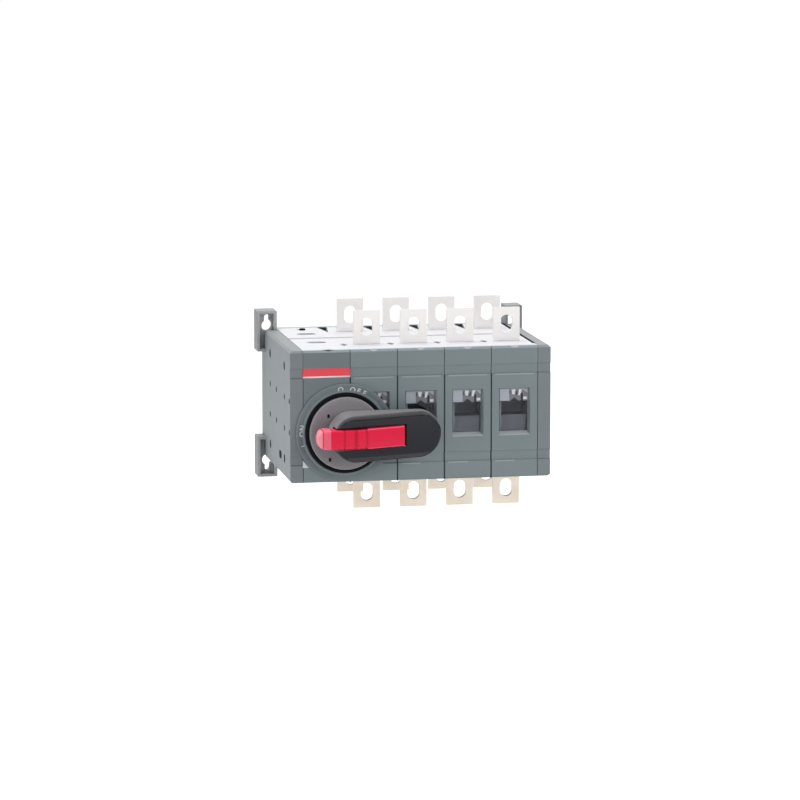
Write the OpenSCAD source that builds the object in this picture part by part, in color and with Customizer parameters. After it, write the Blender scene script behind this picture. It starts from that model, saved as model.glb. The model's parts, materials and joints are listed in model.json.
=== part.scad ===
// Changeover switch: a front and a rear switching unit, one behind the other,
// with four poles beside a mechanism module that a rotary handle drives.
// Millimetres. X runs right, Y runs back towards the mounting panel, Z runs up.
// The origin is on the mounting plane, behind the middle of the housings.

/* [Body] */
// Height of the housings
body_h = 97.5; // [80:0.5:120]
// Number of switched poles
pole_count = 4; // [3, 4]
// Width of one pole module
pole_w = 35; // [30:0.5:44]
// Width of the mechanism module
mechanism_w = 35; // [30:0.5:44]
// Width of each end cover
end_cover_w = 9.5; // [9:0.5:14]
// Depth of the front switching unit
front_unit_d = 68; // [56:0.5:84]
// Depth of the rear switching unit
rear_unit_d = 68; // [56:0.5:84]
// Width of the shadow gap between the fronts of two modules
seam_w = 0.8; // [0.4:0.1:1.6]
// Depth of the shadow gap
seam_depth = 1.6; // [0.8:0.2:3]
// Chamfer along the outer edges of the housings
edge_chamfer = 1.6; // [0.6:0.2:3]

/* [Front grooves] */
// Height of each groove that runs across the front
groove_h = 7.2; // [5:0.1:9]
// Height of the upper groove's middle above the middle of the body
upper_groove_z = 32.1; // [28:0.1:36]
// Depth of the lower groove's middle below the middle of the body
lower_groove_z = 32.2; // [28:0.1:36]
// Depth of both grooves
groove_depth = 0.9; // [0.4:0.1:2]
// Thickness of the coloured strip in the upper groove
strip_t = 0.6; // [0.2:0.1:0.8]

/* [Windows] */
// Width of the recess round each window
window_w = 23.4; // [18:0.1:29]
// Height of the recess round each window
window_h = 34.9; // [28:0.1:42]
// Depth of the recess down to the clear pane
window_depth = 5; // [3:0.5:8]
// Draft of the recess walls, measured at the pane
window_draft = 1.3; // [0.5:0.1:2]
// Height of the position label above the pane
label_h = 9.8; // [6:0.1:12]
// Depth of the recess down to the position label
label_depth = 3; // [1:0.5:4]
// Thickness of the pane and of the label
pane_t = 1.2; // [0.8:0.1:2]
// Width of the ledge that the pane lies on
pane_ledge = 0.8; // [0.5:0.1:1.5]
// Radius of the contact roller behind each pane
roller_r = 8.2; // [6:0.1:10]
// Depth of the roller's axis below the middle of the body
roller_drop = 11; // [8:0.5:14]
// Radius of the roller's end journals
journal_r = 3; // [2:0.5:5]
// Play between the roller and the walls of its chamber
roller_play = 0.6; // [0.4:0.1:1.5]

/* [Terminals] */
// Width of a terminal bar
terminal_w = 20; // [16:0.5:25]
// Thickness of a terminal bar
terminal_t = 3.5; // [2.5:0.5:6]
// Length of a terminal bar outside the housing
terminal_reach = 24.8; // [20:0.2:32]
// Length of a terminal bar inside the housing
terminal_seat = 14; // [8:1:18]
// Distance from the front of the front unit to its terminals' middle
front_setback = 31.5; // [26:0.5:36]
// Distance from the front of the rear unit to its terminals' middle
rear_setback = 35; // [26:0.5:36]
// Width of the bolt slot in a terminal bar
bolt_slot_w = 9; // [6.5:0.5:11]
// Length of the bolt slot, end to end
bolt_slot_len = 13; // [11:0.5:16]
// Distance from the end of a terminal bar to its bolt slot
bolt_slot_edge = 5.6; // [4:0.1:8]
// Play on each side of a terminal bar in its housing
terminal_play = 0.1; // [0.05:0.05:0.3]

/* [Insulating covers] */
// Thickness of the pale covers on the top and the bottom
cover_t = 1.6; // [1:0.1:3]
// Width of the housing's rim in front of the front covers
cover_front_rim = 2.2; // [1.5:0.1:4]
// Width of the rim on each side of the line between the units
cover_mid_rim = 1.2; // [0.8:0.1:3]
// Width of the housing's rim behind the rear covers
cover_back_rim = 9; // [4:0.5:14]
// Width of the rim on each side of a cover
cover_side_rim = 0.5; // [0.4:0.1:1.5]
// Width of the crescent notch in the front rim
notch_w = 7; // [4:0.5:10]
// Depth of the crescent notch
notch_depth = 1.1; // [0.5:0.1:2]
// Length of the oblong slots in the mechanism module's covers
oblong_len = 14.5; // [10:0.5:18]
// Width of the oblong slots in the mechanism module's covers
oblong_w = 9; // [3:0.5:9.5]
// Distance of the front cover's oblong slot from the front of its unit
front_oblong_setback = 45.5; // [10:0.5:50]
// Distance of the rear cover's oblong slot from the front of its unit
rear_oblong_setback = 24.5; // [10:0.5:38]
// Distance of the rear cover's round hole from the front of its unit
round_hole_setback = 51; // [44:0.5:52]
// Radius of the rear cover's round hole
round_hole_r = 3; // [2:0.1:4]

/* [End covers] */
// Radius of the deep screw wells
well_r = 3.3; // [2.4:0.1:4]
// Radius of the shallow rivet wells
rivet_r = 2.2; // [1.4:0.1:3]
// Depth of the screw wells
well_depth = 5; // [2:0.5:7]
// Distance of the screw wells from the front of each unit
well_setback = 27.3; // [22:0.1:32]
// Height of the outer wells above and below the middle
well_z = 34.4; // [28:0.1:38]
// Height of the inner wells above and below the middle
rivet_z = 11.6; // [8:0.1:16]
// Distance of the front pair of rivet wells from the front
front_rivet_setback = 4; // [3.5:0.1:10]
// Distance of the middle pair of rivet wells in front of the line between the units
mid_rivet_inset = 2.4; // [0:0.1:8]
// Distance of the oblong well from the front
oblong_well_setback = 47; // [42:0.5:55]
// Width of the oblong well
oblong_well_w = 6; // [4:0.5:8]
// Length of the oblong well
oblong_well_len = 12; // [9:0.5:16]

/* [Mounting feet] */
// Part of a mounting foot's width that lies behind the end cover
foot_in = 9; // [8.5:0.1:9.4]
// Part of a left-hand foot's width that stands out beyond the side
foot_out_left = 6; // [3:0.5:8]
// Part of a right-hand foot's width that stands out beyond the side
foot_out_right = 4; // [3:0.5:8]
// Depth of a foot's rim in front of the panel
foot_d = 17; // [10:0.5:22]
// Height of a foot beyond the top or the bottom of the body
foot_reach = 14.5; // [12:0.5:20]
// Length of a foot along the side of the body
foot_lap = 16.2; // [12:0.5:24]
// Thickness of a foot's rim
foot_wall = 2; // [1.2:0.2:3]
// Thickness of a foot's back plate
foot_plate_t = 10; // [3:0.5:12]
// Radius of the round end of the keyhole
keyhole_r = 4.2; // [3.6:0.1:5]
// Width of the keyhole's slot
keyhole_slot_w = 4.4; // [3.4:0.1:5.4]
// Distance from the body's edge to the keyhole's round end
keyhole_gap = 2.5; // [0:0.1:3]
// Distance from the keyhole's round end to the screw's place in the slot
keyhole_travel = 6.4; // [5:0.1:8]
// Distance from the foot's inner rim to the keyhole's round end
keyhole_side_gap = 0.3; // [0.1:0.1:2]
// Depth of the room in the end cover for a screw's head
screw_room_d = 16; // [6:0.5:20]

/* [Dial] */
// Distance of the handle's axis from the mechanism module's right edge
axis_inset = 4; // [3.8:0.1:8]
// Depth of the handle's axis below the middle of the body
axis_drop = 12; // [11:0.5:14]
// Thickness of the dial plate under the hub
dial_t = 0.8; // [0.6:0.1:2]
// Height of the dial plate's rim over the front of the body
rim_h = 2; // [1:0.1:3]
// Width of the dial plate's sloping band between its rim and its raised collar
dial_band = 4.6; // [2:0.1:8]
// Width of the raised collar round the black ring
collar_w = 2; // [1:0.1:4]
// Height of the raised collar over the dial plate
collar_h = 0.9; // [0.4:0.1:2]
// Width of the black ring round the hub
ring_w = 2.5; // [1.5:0.1:4]
// Height of the black ring over the dial plate
ring_h = 2.6; // [1.5:0.1:4]

/* [Handle] */
// Radius of the handle's hub
hub_r = 26.8; // [22:0.1:33]
// Height of the hub's face over the front of the body
hub_face = 6; // [5:0.5:7.5]
// Radius of the operating shaft
shaft_r = 3; // [2:0.1:3]
// Length of the shaft inside the mechanism module
shaft_len = 26; // [15:1:45]
// Distance from the axis to the tip of the grip
grip_reach = 69.5; // [55:0.5:80]
// Distance from the axis to the grip's inner end
grip_back = 14; // [8:0.5:20]
// Width of the grip
grip_w = 34; // [28:0.5:38]
// Height of the level part of the grip's face over the front of the body
grip_top = 34.5; // [33:0.5:44]
// Distance from the axis to where the grip's face starts to fall
fall_start = 4; // [0:0.5:8]
// Angle by which the grip's face falls from there to the tip
grip_fall = 19; // [10:0.5:20]

/* [Padlock lever] */
// Width of the lever
lever_w = 14.2; // [12:0.2:20]
// Extra width of the lever's flat block
block_extra = 1; // [0:0.2:2]
// Distance from the axis to the lever's thumb end
lever_back = 25.5; // [20:0.5:30]
// Distance from the axis to the lever's outer end
lever_reach = 40; // [34:0.5:46]
// Distance from the axis to the start of the flat block
block_start = 11.4; // [10:0.2:22]
// Distance between the grooves across the lever's face
groove_pitch = 8.2; // [4:0.2:10]
// Height of the lever over the grip's face
lever_proud = 1.6; // [0:0.1:3]
// Depth of the lever below the grip's face
lever_depth = 10.5; // [8:0.5:12]
// Depth of the lever's thumb end below the grip's face
thumb_depth = 15; // [10:0.5:20]
// Radius of the lever's pin
pin_r = 1.5; // [1:0.1:2]
// Distance from the lever's outer end to its pin
pin_inset = 5; // [4:0.5:7]
// Depth of the pin below the grip's face
pin_depth = 3.5; // [2.5:0.5:6]
// Play between the lever and the walls of its channel
lever_play = 0.5; // [0.3:0.1:1]
// Space past the lever's outer end, for its swing
lever_end_gap = 2.1; // [2:0.1:4]
// Space between the lever and the floor of its channel
lever_floor_gap = 3; // [1:0.5:4]
// Space between the thumb end and the grip's inner end
thumb_gap = 2.5; // [1:0.5:4]
// Part of the grip left over each end of the pin
pin_cover = 2; // [1:0.5:4]

/* [Hidden] */
$fn = 64;
// How far a cutting shape reaches past the surface that it cuts
past = 1;
// How far a cut is let into the face that it starts from
overlap = 0.01;
// Play round a shaft or a pin that turns in its bore
running_play = 0.05;
// Play round the hub and behind it
hub_play = 0.3;
// Play round the shaft in the dial plate
shaft_gap = 0.5;
// Chamfers of the dial's parts and of the hub
dial_bevel = 0.6;
hub_bevel = 2;

body_w = 2 * end_cover_w + mechanism_w + pole_count * pole_w;
body_d = front_unit_d + rear_unit_d;
front_y = -body_d;
mid_y = -rear_unit_d;
top_z = body_h / 2;
side_x = body_w / 2;
mechanism_x = -side_x + end_cover_w + mechanism_w / 2;
poles_x0 = -side_x + end_cover_w + mechanism_w;
poles = [1 : pole_count];

// Places of the parts of a unit: unit 0 is the front one and unit 1 the rear one
function unit_y(unit) = unit == 0 ? front_y : mid_y;
function unit_d(unit) = unit == 0 ? front_unit_d : rear_unit_d;
function terminal_y(unit) = unit_y(unit) + (unit == 0 ? front_setback : rear_setback);
function cover_y0(unit) = unit_y(unit) + (unit == 0 ? cover_front_rim : cover_mid_rim);
function cover_y1(unit) = unit == 0 ? mid_y - cover_mid_rim : -cover_back_rim;
function pole_x(i) = poles_x0 + (i - 0.5) * pole_w;

// Windows
pane_w = window_w - 2 * window_draft;
pane_z0 = -window_h / 2 + 2 * window_draft;
pane_z1 = window_h / 2 - label_h;
chamber_w = pane_w - 2 * pane_ledge;
chamber_y0 = window_depth + pane_t;
roller_y = chamber_y0 + roller_play + roller_r;
chamber_d = 2 * (roller_r + roller_play);
chamber_z0 = -roller_drop - roller_r - roller_play;
chamber_z1 = pane_z1 - pane_ledge;

// Terminals
bolt_slot_z = top_z + terminal_reach - bolt_slot_edge - bolt_slot_len / 2;

// Feet
foot_x0 = side_x - foot_in;
foot_z0 = top_z - foot_lap;
keyhole_x = foot_x0 + foot_wall + keyhole_r + keyhole_side_gap;
keyhole_z = top_z + keyhole_gap;

// Handle
axis_x = poles_x0 - axis_inset;
axis_z = -axis_drop;
hub_back = dial_t + hub_play;
shaft_top = (hub_back + hub_face) / 2;
ring_in_r = hub_r + hub_play;
ring_r = ring_in_r + ring_w;
collar_r = ring_r + collar_w;
dial_r = collar_r + dial_band;
pin_x = lever_reach - pin_inset;
pin_h = face_h(pin_x) - pin_depth;
pin_len = grip_w - 2 * pin_cover;
channel_w = lever_w + block_extra + 2 * lever_play;
channel_depth = lever_depth + lever_floor_gap;

// Height of the grip's face over the front of the body, at a distance x from the axis
function face_h(x) = grip_top - max(x - fall_start, 0) * tan(grip_fall);

// A rod along X, centred on the YZ point it is moved to
module rod_x(r, len) {
    rotate([0, 90, 0]) cylinder(r = r, h = len, center = true);
}

// The outline of an oblong, with its length along Y
module oblong(w, len) {
    square([w, len - w], center = true);
    for (side = [-1, 1])
        translate([0, side * (len - w) / 2]) circle(d = w);
}

// The same thing at the top and, turned over, at the bottom
module top_and_bottom() {
    children();
    mirror([0, 0, 1]) children();
}

// The block of one module, w wide about X = 0, with its four long front and back edges chamfered
module module_block(w, y0, d, front_bevel, back_bevel) {
    rotate([90, 0, 90])
        translate([0, 0, -w / 2])
            linear_extrude(w)
                polygon([
                    [y0, -top_z + front_bevel],
                    [y0 + front_bevel, -top_z],
                    [y0 + d - back_bevel, -top_z],
                    [y0 + d, -top_z + back_bevel],
                    [y0 + d, top_z - back_bevel],
                    [y0 + d - back_bevel, top_z],
                    [y0 + front_bevel, top_z],
                    [y0, top_z - front_bevel]
                ]);
}

// What is cut from the front of every module: the two grooves across it
module front_grooves(w) {
    for (z = [upper_groove_z, -lower_groove_z])
        translate([-w / 2 - past, front_y - past, z - groove_h / 2])
            cube([w + 2 * past, groove_depth + past, groove_h]);
}

// The shadow gaps down both sides of a module's front
module front_seams(w) {
    seam_top = upper_groove_z - groove_h / 2;
    for (side = [-1, 1])
        translate([side * w / 2 - seam_w / 2, front_y - past, -top_z - past])
            cube([seam_w, seam_depth + past, seam_top + top_z + past]);
}

// The shallow bed of a cover in the top of a module
module cover_bed(w, unit) {
    bed_w = w - 2 * cover_side_rim;
    translate([-bed_w / 2, cover_y0(unit), top_z - cover_t])
        cube([bed_w, cover_y1(unit) - cover_y0(unit), cover_t + past]);
}

// The slot that a terminal bar stands in
module terminal_slot(unit) {
    slot_w = terminal_w + 2 * terminal_play;
    slot_t = terminal_t + 2 * terminal_play;
    translate([-slot_w / 2, terminal_y(unit) - slot_t / 2, top_z - terminal_seat])
        cube([slot_w, slot_t, terminal_seat + past]);
}

// The recess in front of one window, with drafted walls
module window_recess() {
    label_draft = window_draft * label_depth / window_depth;
    intersection() {
        translate([0, 0, -window_h])
            linear_extrude(2 * window_h)
                polygon([
                    [-window_w / 2, front_y - overlap],
                    [window_w / 2, front_y - overlap],
                    [pane_w / 2, front_y + window_depth],
                    [pane_w / 2, front_y + window_depth + pane_t],
                    [-pane_w / 2, front_y + window_depth + pane_t],
                    [-pane_w / 2, front_y + window_depth]
                ]);
        rotate([90, 0, 90])
            translate([0, 0, -window_w])
                linear_extrude(2 * window_w)
                    polygon([
                        [front_y - overlap, -window_h / 2],
                        [front_y + window_depth, pane_z0],
                        [front_y + window_depth + pane_t, pane_z0],
                        [front_y + window_depth + pane_t, pane_z1],
                        [front_y + label_depth + pane_t, pane_z1],
                        [front_y + label_depth + pane_t, window_h / 2 - label_draft],
                        [front_y + label_depth, window_h / 2 - label_draft],
                        [front_y - overlap, window_h / 2]
                    ]);
    }
}

// The chamber behind one window
module roller_chamber() {
    translate([-chamber_w / 2, front_y + chamber_y0 - overlap, chamber_z0])
        cube([chamber_w, chamber_d + overlap, chamber_z1 - chamber_z0]);
}

// The crescent notch in the front rim over one pole
module rim_notch() {
    notch_r = notch_w * notch_w / (8 * notch_depth) + notch_depth / 2;
    translate([0, front_y - past, top_z + notch_r - notch_depth])
        rotate([-90, 0, 0]) cylinder(r = notch_r, h = cover_front_rim + past);
}

module pole_housing(i, unit) {
    front_bevel = unit == 0 ? edge_chamfer : 0;
    back_bevel = unit == 1 ? edge_chamfer : 0;
    color("slategray")
    translate([pole_x(i), 0, 0])
    difference() {
        module_block(pole_w, unit_y(unit), unit_d(unit), front_bevel, back_bevel);
        top_and_bottom() {
            cover_bed(pole_w, unit);
            terminal_slot(unit);
        }
        if (unit == 0) {
            front_grooves(pole_w);
            front_seams(pole_w);
            window_recess();
            roller_chamber();
            rim_notch();
        }
    }
}

module mechanism_front() {
    color("slategray")
    difference() {
        translate([mechanism_x, 0, 0])
            difference() {
                module_block(mechanism_w, front_y, front_unit_d, edge_chamfer, 0);
                top_and_bottom() cover_bed(mechanism_w, 0);
                front_grooves(mechanism_w);
                front_seams(mechanism_w);
            }
        translate([axis_x, front_y - past, axis_z])
            rotate([-90, 0, 0]) cylinder(r = shaft_r + running_play, h = shaft_len + past);
    }
}

module mechanism_rear() {
    color("slategray")
    translate([mechanism_x, 0, 0])
    difference() {
        module_block(mechanism_w, mid_y, rear_unit_d, 0, edge_chamfer);
        top_and_bottom() cover_bed(mechanism_w, 1);
    }
}

// A round well in the outer face of an end cover
module well(y, z, r, depth) {
    translate([side_x - depth / 2 + past / 2, y, z]) rod_x(r, depth + past);
}

// The right-hand end cover; the left-hand one is its mirror image
module end_cover(colour) {
    color(colour)
    difference() {
        translate([side_x - end_cover_w / 2, 0, 0])
            module_block(end_cover_w, front_y, body_d, edge_chamfer, edge_chamfer);
        // The chamfer along the outer upper and lower edges
        top_and_bottom()
            translate([side_x, front_y - past, top_z])
                rotate([-90, 0, 0])
                    cylinder(r = edge_chamfer, h = body_d + 2 * past, $fn = 4);
        translate([side_x - end_cover_w / 2, 0, 0]) front_grooves(end_cover_w);
        for (unit = [0, 1], side = [-1, 1]) {
            well(unit_y(unit) + well_setback, side * well_z, well_r, well_depth);
            well(unit_y(unit) + well_setback, side * rivet_z, rivet_r, well_depth / 2);
        }
        for (side = [-1, 1]) {
            well(mid_y - mid_rivet_inset, side * rivet_z, rivet_r, well_depth / 2);
            well(front_y + front_rivet_setback, side * rivet_z, rivet_r, well_depth / 2);
        }
        // The oblong well near the lower edge of the front unit
        translate([side_x - well_depth, front_y + oblong_well_setback, -well_z])
            rotate([90, 0, 90])
                linear_extrude(well_depth + past)
                    rotate(90) oblong(oblong_well_w, oblong_well_len);
        // The beds of the feet, and the room for a screw's head in front of each keyhole
        top_and_bottom() {
            translate([foot_x0, -foot_plate_t, foot_z0])
                cube([foot_in + past, foot_plate_t + past, foot_lap + past]);
            translate([foot_x0, -screw_room_d, keyhole_z - keyhole_r - keyhole_gap])
                cube([foot_in + past, screw_room_d + past, foot_lap]);
        }
    }
}

module end_cover_right() {
    end_cover("lightslategray");
}

module end_cover_left() {
    mirror([1, 0, 0]) end_cover("lightslategray");
}

// The upper right-hand foot, which stands out beyond the side; the others are its mirror images
module foot(out) {
    rim_w = foot_in + out;
    color("gray")
    difference() {
        union() {
            translate([foot_x0, -foot_plate_t, foot_z0])
                cube([rim_w, foot_plate_t, foot_lap + foot_reach]);
            // The rim beyond the body's edge
            translate([foot_x0, -foot_d, top_z])
                cube([rim_w, foot_d, foot_reach]);
            // The rim along the side of the body
            translate([side_x, -foot_d, foot_z0])
                cube([out, foot_d, foot_lap]);
        }
        // The tray inside the rim
        translate([foot_x0 + foot_wall, -foot_d - past, top_z - past])
            cube([rim_w - 2 * foot_wall, foot_d - foot_plate_t + past, foot_reach - foot_wall + past]);
        translate([side_x, -foot_d - past, foot_z0 + foot_wall])
            cube([out - foot_wall, foot_d - foot_plate_t + past, foot_lap]);
        // The keyhole
        translate([keyhole_x, -foot_plate_t - past, keyhole_z])
            rotate([-90, 0, 0]) cylinder(r = keyhole_r, h = foot_plate_t + 2 * past);
        translate([keyhole_x - keyhole_slot_w / 2, -foot_plate_t - past, keyhole_z])
            cube([keyhole_slot_w, foot_plate_t + 2 * past, keyhole_travel]);
        translate([keyhole_x, -foot_plate_t - past, keyhole_z + keyhole_travel])
            rotate([-90, 0, 0]) cylinder(d = keyhole_slot_w, h = foot_plate_t + 2 * past);
    }
}

module foot_right_top() {
    foot(foot_out_right);
}

module foot_right_bottom() {
    mirror([0, 0, 1]) foot(foot_out_right);
}

module foot_left_top() {
    mirror([1, 0, 0]) foot(foot_out_left);
}

module foot_left_bottom() {
    mirror([1, 0, 0]) mirror([0, 0, 1]) foot(foot_out_left);
}

// The upper and the lower terminal bar of one pole in one unit
module terminals(i, unit) {
    color("silver")
    translate([pole_x(i), terminal_y(unit), 0])
    top_and_bottom()
        difference() {
            translate([-terminal_w / 2, -terminal_t / 2, top_z - terminal_seat])
                cube([terminal_w, terminal_t, terminal_seat + terminal_reach]);
            translate([0, terminal_t, bolt_slot_z])
                rotate([90, 0, 0])
                    linear_extrude(2 * terminal_t) oblong(bolt_slot_w, bolt_slot_len);
        }
}

// One pale cover in the top of a module
module cover_plate(w, unit) {
    plate_w = w - 2 * cover_side_rim;
    translate([-plate_w / 2, cover_y0(unit), top_z - cover_t])
        cube([plate_w, cover_y1(unit) - cover_y0(unit), cover_t]);
}

// The row of pale covers in the top of one unit
module covers(unit) {
    oblong_y = unit_y(unit) + (unit == 0 ? front_oblong_setback : rear_oblong_setback);
    color("whitesmoke") {
        for (i = poles)
            translate([pole_x(i), 0, 0])
                difference() {
                    cover_plate(pole_w, unit);
                    terminal_slot(unit);
                }
        translate([mechanism_x, 0, 0])
            difference() {
                cover_plate(mechanism_w, unit);
                translate([0, oblong_y, top_z - cover_t - past])
                    linear_extrude(cover_t + 2 * past) rotate(90) oblong(oblong_w, oblong_len);
                if (unit == 1)
                    translate([0, unit_y(unit) + round_hole_setback, top_z - cover_t - past])
                        cylinder(r = round_hole_r, h = cover_t + 2 * past);
            }
    }
}

module top_covers_front() {
    covers(0);
}

module top_covers_rear() {
    covers(1);
}

module bottom_covers_front() {
    mirror([0, 0, 1]) covers(0);
}

module bottom_covers_rear() {
    mirror([0, 0, 1]) covers(1);
}

module window_pane(i) {
    color("dimgray", 0.5)
    translate([pole_x(i) - pane_w / 2, front_y + window_depth, pane_z0])
        cube([pane_w, pane_t, pane_z1 - pane_z0]);
}

module contact_roller(i) {
    color("darkgray")
    translate([pole_x(i), front_y + roller_y, -roller_drop]) {
        rod_x(roller_r, chamber_w - 2 * roller_play);
        rod_x(journal_r, chamber_w);
    }
}

// The label over each pane that shows the switch's positions
module position_labels() {
    label_draft = window_draft * label_depth / window_depth;
    label_w = window_w - 2 * window_draft * (label_depth + pane_t) / window_depth;
    color("gainsboro")
    for (i = poles)
        translate([pole_x(i) - label_w / 2, front_y + label_depth, pane_z1])
            cube([label_w, pane_t, label_h - label_draft]);
}

module coloured_strip() {
    color("crimson")
    translate([mechanism_x - mechanism_w / 2, front_y + groove_depth - strip_t, 0])
        translate([0, 0, upper_groove_z - groove_h / 2]) cube([mechanism_w, strip_t, groove_h]);
}

// Turns what is drawn upright so that it stands out of the front of the body at the axis
module at_axis() {
    translate([axis_x, front_y, axis_z]) rotate([90, 0, 0]) children();
}

module dial_plate() {
    color("slategray")
    at_axis()
        rotate_extrude()
            polygon([
                [shaft_r + shaft_gap, 0],
                [dial_r, 0],
                [dial_r, rim_h],
                [dial_r - dial_bevel, rim_h],
                [collar_r, dial_t],
                [collar_r - dial_bevel, dial_t + collar_h],
                [ring_r, dial_t + collar_h],
                [ring_r, dial_t],
                [shaft_r + shaft_gap, dial_t]
            ]);
}

// The black ring that the hub turns in
module dial_ring() {
    color("black")
    at_axis()
        rotate_extrude()
            polygon([
                [ring_in_r, dial_t],
                [ring_r, dial_t],
                [ring_r, dial_t + ring_h - dial_bevel],
                [ring_r - dial_bevel, dial_t + ring_h],
                [ring_in_r + dial_bevel, dial_t + ring_h],
                [ring_in_r, dial_t + ring_h - dial_bevel]
            ]);
}

module handle_shaft() {
    color("silver")
    at_axis()
        translate([0, 0, -shaft_len])
            cylinder(r = shaft_r, h = shaft_len + shaft_top);
}

module handle_hub() {
    color("dimgray")
    at_axis()
        difference() {
            rotate_extrude()
                polygon([
                    [0, hub_back],
                    [hub_r, hub_back],
                    [hub_r, hub_face - hub_bevel],
                    [hub_r - hub_bevel, hub_face],
                    [0, hub_face]
                ]);
            cylinder(r = shaft_r, h = shaft_top);
        }
}

// The grip's outline seen from the front
module grip_outline() {
    r = grip_w / 2;
    near_x = r - grip_back;
    far_x = grip_reach - r;
    translate([near_x, 0]) circle(r = r);
    translate([far_x, 0]) circle(r = r);
    translate([near_x, -r]) square([far_x - near_x, 2 * r]);
}

// What is drawn as a side view of the handle, height upward, made w wide about its middle
module side_slab(w) {
    rotate([90, 0, 0])
        translate([0, 0, -w / 2])
            linear_extrude(w) children();
}

// A rod across the handle where the lever's pin is
module pin_rod(r, len) {
    translate([pin_x, 0, pin_h])
        rotate([90, 0, 0]) cylinder(r = r, h = len, center = true);
}

// The space round the lever: its channel in the grip
module lever_channel() {
    end_x = lever_reach + lever_end_gap;
    side_slab(channel_w)
        polygon([
            [-grip_reach, grip_top - channel_depth],
            [fall_start, grip_top - channel_depth],
            [end_x, face_h(end_x) - channel_depth],
            [end_x, grip_top + past],
            [-grip_reach, grip_top + past]
        ]);
}

module handle_grip() {
    end_x = grip_reach + past;
    color("darkslategray")
    at_axis()
        difference() {
            intersection() {
                linear_extrude(grip_top + past) grip_outline();
                side_slab(2 * grip_w)
                    polygon([
                        [-end_x, hub_face],
                        [end_x, hub_face],
                        [end_x, face_h(end_x)],
                        [fall_start, grip_top],
                        [-end_x, grip_top]
                    ]);
            }
            lever_channel();
            pin_rod(pin_r, pin_len);
        }
}

module lever_pin() {
    color("silver")
    at_axis() pin_rod(pin_r, pin_len);
}

// The lever's outline seen from the front
module lever_outline() {
    thumb_r = lever_w / 2;
    block_w = lever_w + block_extra;
    translate([-lever_back + thumb_r, 0]) circle(r = thumb_r);
    translate([-lever_back + thumb_r, -thumb_r]) square([lever_back - thumb_r + block_start, lever_w]);
    translate([block_start, -block_w / 2]) square([lever_reach - block_start, block_w]);
}

module padlock_lever() {
    thumb_len = lever_back - grip_back - thumb_gap;
    corner = 3;
    groove_r = 1.1;
    groove_count = 3;
    color("crimson")
    at_axis()
        difference() {
            intersection() {
                linear_extrude(grip_top + lever_proud + past) lever_outline();
                // The lever's outline seen from the side
                side_slab(2 * lever_w)
                    polygon([
                        [-lever_back, grip_top + lever_proud - corner],
                        [-lever_back + corner, grip_top + lever_proud],
                        [fall_start, grip_top + lever_proud],
                        [lever_reach, face_h(lever_reach) + lever_proud],
                        [lever_reach, face_h(lever_reach) - lever_depth + corner],
                        [lever_reach - corner, face_h(lever_reach - corner) - lever_depth],
                        [fall_start, grip_top - lever_depth],
                        [-lever_back + thumb_len + corner, grip_top - lever_depth],
                        [-lever_back + thumb_len, grip_top - thumb_depth],
                        [-lever_back + corner, grip_top - thumb_depth],
                        [-lever_back, grip_top - thumb_depth + corner]
                    ]);
            }
            // The shallow grooves across its face, from the block towards the thumb end
            for (k = [0 : groove_count - 1]) {
                groove_x = block_start - groove_r - k * groove_pitch;
                translate([groove_x, 0, face_h(groove_x) + lever_proud + groove_r / 3])
                    rotate([90, 0, 0]) cylinder(r = groove_r, h = 2 * lever_w, center = true);
            }
            pin_rod(pin_r + running_play, 2 * lever_w);
        }
}

end_cover_left();
end_cover_right();
mechanism_front();
mechanism_rear();
for (i = poles) {
    pole_housing(i, 0);
    pole_housing(i, 1);
    terminals(i, 0);
    terminals(i, 1);
    window_pane(i);
    contact_roller(i);
}
foot_left_top();
foot_left_bottom();
foot_right_top();
foot_right_bottom();
top_covers_front();
top_covers_rear();
bottom_covers_front();
bottom_covers_rear();
position_labels();
coloured_strip();
dial_plate();
dial_ring();
handle_shaft();
handle_hub();
handle_grip();
lever_pin();
padlock_lever();
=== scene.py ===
import json
from math import atan2, cos, pi, radians, sin, sqrt, tan, tau

import bmesh
import bpy
from mathutils import Matrix, Vector


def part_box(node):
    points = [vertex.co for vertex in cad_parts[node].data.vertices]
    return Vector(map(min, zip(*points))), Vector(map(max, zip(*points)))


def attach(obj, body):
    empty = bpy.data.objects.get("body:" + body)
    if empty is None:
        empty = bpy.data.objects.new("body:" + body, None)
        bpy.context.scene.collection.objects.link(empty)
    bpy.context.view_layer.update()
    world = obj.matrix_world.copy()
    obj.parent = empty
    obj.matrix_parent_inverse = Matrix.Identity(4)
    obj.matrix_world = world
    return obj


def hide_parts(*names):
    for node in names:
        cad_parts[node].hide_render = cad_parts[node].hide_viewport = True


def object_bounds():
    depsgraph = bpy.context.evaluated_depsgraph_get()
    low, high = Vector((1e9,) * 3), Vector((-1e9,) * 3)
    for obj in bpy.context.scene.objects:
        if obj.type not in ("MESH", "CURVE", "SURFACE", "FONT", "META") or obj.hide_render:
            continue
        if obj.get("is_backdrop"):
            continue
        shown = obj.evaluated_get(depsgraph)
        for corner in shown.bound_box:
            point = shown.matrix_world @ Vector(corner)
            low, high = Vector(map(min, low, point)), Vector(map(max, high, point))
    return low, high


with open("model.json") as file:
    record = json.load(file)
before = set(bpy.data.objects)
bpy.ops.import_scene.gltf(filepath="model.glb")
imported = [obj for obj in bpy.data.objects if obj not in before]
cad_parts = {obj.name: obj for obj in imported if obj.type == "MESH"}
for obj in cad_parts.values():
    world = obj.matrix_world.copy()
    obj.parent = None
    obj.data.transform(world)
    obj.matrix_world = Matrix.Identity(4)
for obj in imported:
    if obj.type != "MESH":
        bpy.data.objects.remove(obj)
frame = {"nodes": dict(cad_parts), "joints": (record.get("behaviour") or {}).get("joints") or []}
cadLow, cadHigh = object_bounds()
nodes = frame["nodes"]
mm = 0.001
hair = 0.01 * mm  # places this close are the same


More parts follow.
